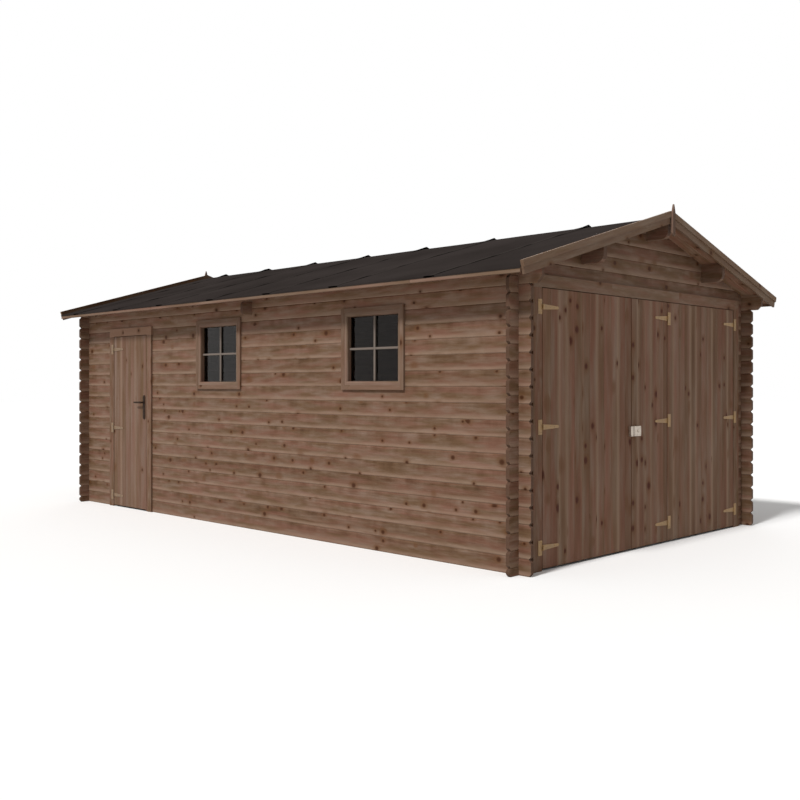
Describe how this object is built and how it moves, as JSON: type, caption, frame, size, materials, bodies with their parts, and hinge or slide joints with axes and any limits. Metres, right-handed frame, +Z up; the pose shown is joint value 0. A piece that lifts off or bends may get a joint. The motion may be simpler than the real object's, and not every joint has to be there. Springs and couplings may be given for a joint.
{
  "type": "log garage",
  "caption": "Gabled log garage with hinged garage leaves at the front, a hinged side door, glazed windows and a felted roof.",
  "frame": {"origin": "middle of the plan at ground level, under the ridge", "axes": "+Z up, -Y out of the front gable with the garage door, -X out of the long wall with the side door and windows"},
  "size_m": [3.775, 6.3206, 2.6613],
  "materials": {
    "wall_logs": "planed softwood with a brown preservative",
    "door_boards": "planed softwood boards with a brown preservative",
    "joinery": "planed softwood with a brown preservative",
    "trim_boards": "planed softwood with a brown preservative",
    "roof_boards": "sawn softwood boards",
    "felt": "mineral roofing felt, matt charcoal",
    "glass": "clear float glass",
    "hinge_iron": "yellow zinc on steel",
    "lock_metal": "bright plated steel",
    "handle_black": "black paint, satin"
  },
  "bodies": {
    "building": {"left_wall_rear": "wall_logs", "left_wall_low": "wall_logs", "left_wall_door_pier": "wall_logs", "left_wall_middle_pier": "wall_logs", "left_wall_front_pier": "wall_logs", "left_wall_top": "wall_logs", "left_plate_log": "wall_logs", "right_wall": "wall_logs", "right_plate_log": "wall_logs", "front_wall_left": "wall_logs", "front_wall_right": "wall_logs", "front_gable": "wall_logs", "rear_wall": "wall_logs", "middle_truss": "wall_logs", "ridge_purlin": "wall_logs", "side_purlins": "wall_logs", "left_roof_boards": "roof_boards", "right_roof_boards": "roof_boards", "roof_felt": "felt", "eave_strips": "trim_boards", "front_barge_boards": "trim_boards", "rear_barge_boards": "trim_boards", "finials": "trim_boards", "garage_door_frame": "joinery", "garage_hinge_plates": "hinge_iron", "side_door_frame": "joinery", "side_hinge_plates": "hinge_iron", "rear_window_frame": "joinery", "front_window_frame": "joinery", "window_sashes": "joinery", "window_glass": "glass"},
    "left_leaf": {"garage_left_leaf": "door_boards", "garage_left_straps": "hinge_iron", "garage_lock_keep": "lock_metal"},
    "right_leaf": {"garage_right_leaf": "door_boards", "garage_right_straps": "hinge_iron"},
    "narrow_leaf": {"garage_narrow_leaf": "door_boards", "garage_narrow_straps": "hinge_iron", "garage_lock": "lock_metal"},
    "side_door": {"side_door_leaf": "door_boards", "side_door_straps": "hinge_iron", "side_handle_plate": "handle_black"},
    "lever": {"side_lever": "handle_black"}
  },
  "joints": [
    {"name": "left_leaf_hinge", "type": "hinge", "parent": "building", "child": "left_leaf", "pos_m": [-1.421, -2.9591, 0.98], "axis": [0, 0, -1], "range_deg": [0, 120]},
    {"name": "right_leaf_hinge", "type": "hinge", "parent": "building", "child": "right_leaf", "pos_m": [1.421, -2.9591, 0.98], "axis": [0, 0, 1], "range_deg": [0, 120]},
    {"name": "narrow_leaf_hinge", "type": "hinge", "parent": "right_leaf", "child": "narrow_leaf", "pos_m": [0.259, -2.9591, 0.98], "axis": [0, 0, 1], "range_deg": [0, 120]},
    {"name": "side_door_hinge", "type": "hinge", "parent": "building", "child": "side_door", "pos_m": [-1.6786, 2.369, 0.82], "axis": [0, 0, -1], "range_deg": [0, 120]},
    {"name": "lever_turn", "type": "hinge", "parent": "side_door", "child": "lever", "pos_m": [-1.6959, 1.768, 1.09], "axis": [-1, 0, 0], "range_deg": [0, 35], "stiffness_Nm_per_rad": 1.5, "springref_deg": -17.19}
  ]
}
